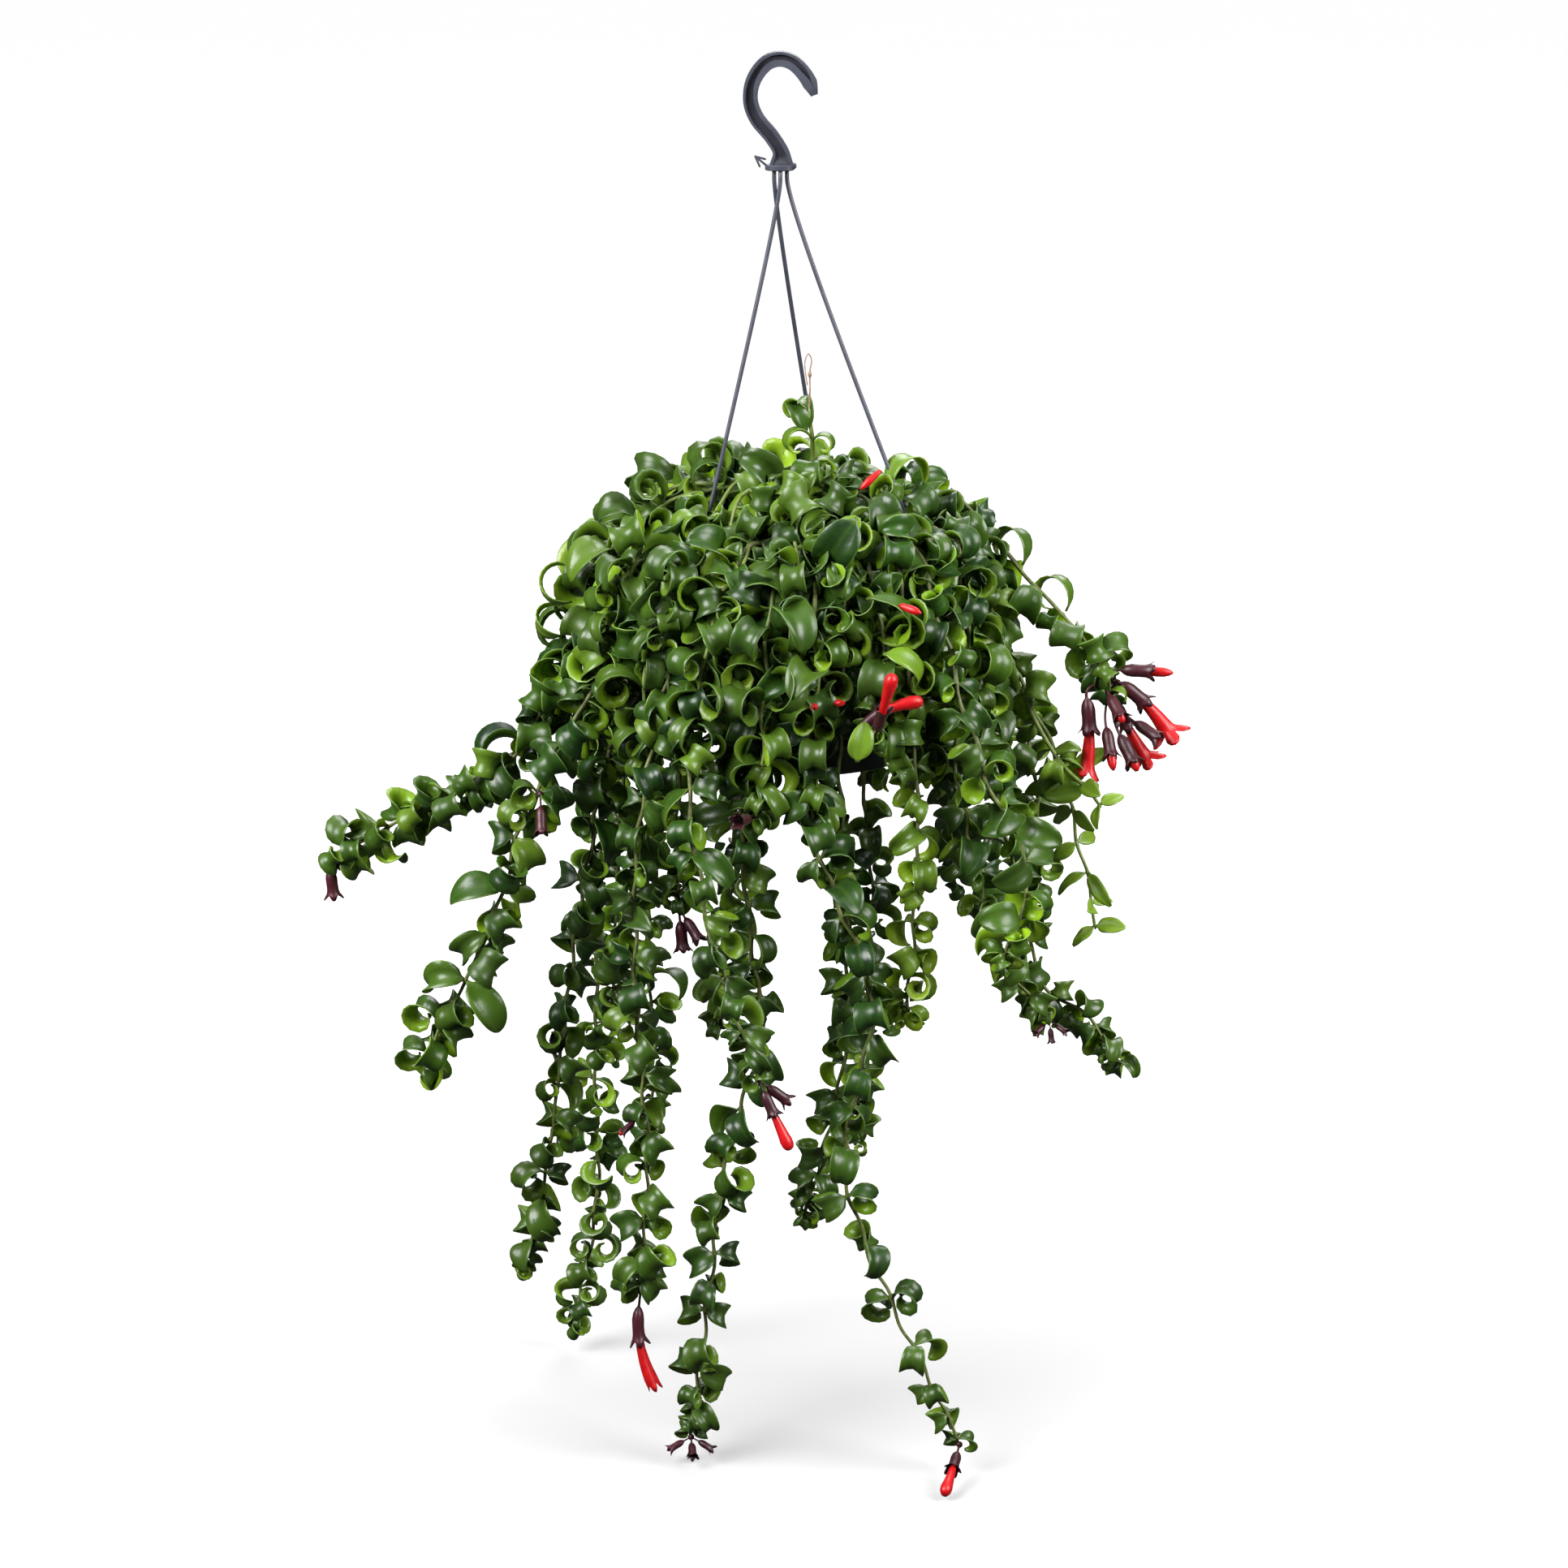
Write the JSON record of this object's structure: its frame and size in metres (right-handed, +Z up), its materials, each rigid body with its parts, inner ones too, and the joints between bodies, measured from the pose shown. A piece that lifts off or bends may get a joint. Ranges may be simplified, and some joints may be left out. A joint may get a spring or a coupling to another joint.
{
  "type": "lipstick plant hanging basket",
  "caption": "Curly-leaved trailing lipstick plant with tubular red blooms in a plastic hanging pot with saucer, rod hanger and open hook.",
  "frame": {"origin": "inner apex of the open hook, where a rod or ceiling hook carries the basket", "axes": "+Z up; the long front stems hang on the -Y side; the arm pair opens to -X and +X"},
  "size_m": [0.5362, 0.3283, 0.8738],
  "materials": {
    "hanger": "slate grey moulded plastic, satin",
    "pot": "near-black moulded plastic, soft gloss",
    "soil": "dark moist potting compost, crumbly",
    "foliage": "waxy dark green leaf, glossy above, paler below",
    "calyx": "dark maroon, softly downy",
    "dried": "dry brown, papery",
    "petal": "bright red, velvety"
  },
  "bodies": {
    "root": {"hook": "hanger", "arm_left": "hanger", "arm_right": "hanger", "arm_back": "hanger", "pot": "pot", "saucer": "pot", "soil": "soil", "crown": "foliage", "trail_01": "foliage", "trail_02": "foliage", "trail_03": "foliage", "trail_04": "foliage", "trail_05": "foliage", "trail_06": "foliage", "trail_07": "foliage", "trail_08": "foliage", "trail_09": "foliage", "trail_10": "foliage", "trail_11": "foliage", "trail_12": "foliage", "trail_13": "foliage", "trail_14": "foliage", "trail_15": "foliage", "trail_16": "foliage", "trail_17": "foliage", "trail_18": "foliage", "trail_19": "foliage", "trail_20": "foliage", "trail_21": "foliage", "trail_22": "foliage", "shoot_01": "foliage", "shoot_02": "foliage", "shoot_03": "foliage", "shoot_04": "foliage", "shoot_05": "foliage", "shoot_06": "foliage", "shoot_07": "foliage", "shoot_08": "foliage", "calyx_right": "calyx", "calyx_front": "calyx", "calyx_middle": "calyx", "calyx_hanging": "calyx", "calyx_lowest": "calyx", "calyx_left": "calyx", "calyx_upper_left": "calyx", "calyx_veil": "calyx", "calyx_facing": "calyx", "calyx_bud": "calyx", "calyx_budding": "calyx", "calyx_dried": "dried", "corolla_right_2": "petal", "corolla_right_4": "petal", "corolla_right_8": "petal", "corolla_front_1": "petal", "corolla_front_2": "petal", "corolla_middle_1": "petal", "corolla_hanging_1": "petal", "corolla_lowest_1": "petal"}
  },
  "joints": []
}
